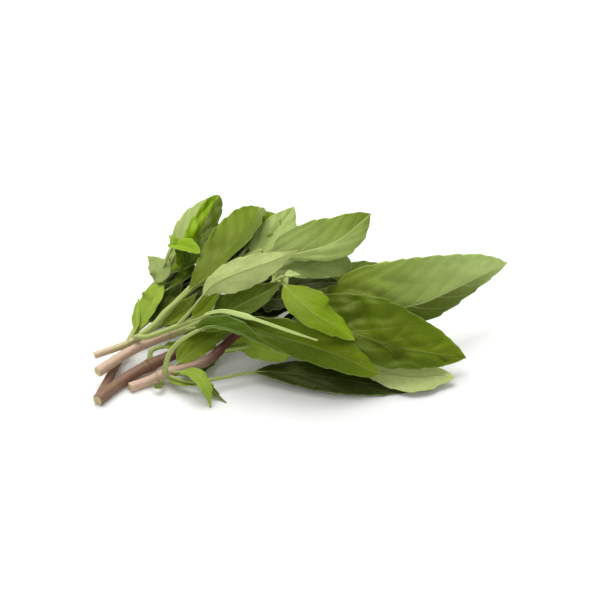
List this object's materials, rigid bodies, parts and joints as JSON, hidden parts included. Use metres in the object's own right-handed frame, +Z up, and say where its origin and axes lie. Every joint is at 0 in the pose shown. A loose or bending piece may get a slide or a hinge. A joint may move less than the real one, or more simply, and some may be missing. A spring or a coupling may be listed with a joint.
{
  "type": "basil bunch",
  "caption": "Loose untied handful of leafy Thai basil stems, lying on its side with ovate folded leaves and bare woody cut ends.",
  "frame": {"origin": "middle of the bounding box at the surface that the bunch lies on", "axes": "+X from the cut stem ends towards the leaf tips, +Y away from the side it is looked at from, +Z up"},
  "size_m": [0.1978, 0.1083, 0.058],
  "materials": {
    "woody_stem": "matte",
    "green_sprig": "satin"
  },
  "bodies": {
    "root": {"stem_base_a": "woody_stem", "stem_base_b": "woody_stem", "stem_base_c_fork": "woody_stem", "stem_base_d": "woody_stem", "sprig_a": "green_sprig", "sprig_b": "green_sprig", "sprig_c1": "green_sprig", "sprig_c2": "green_sprig", "sprig_d": "green_sprig"}
  },
  "joints": []
}
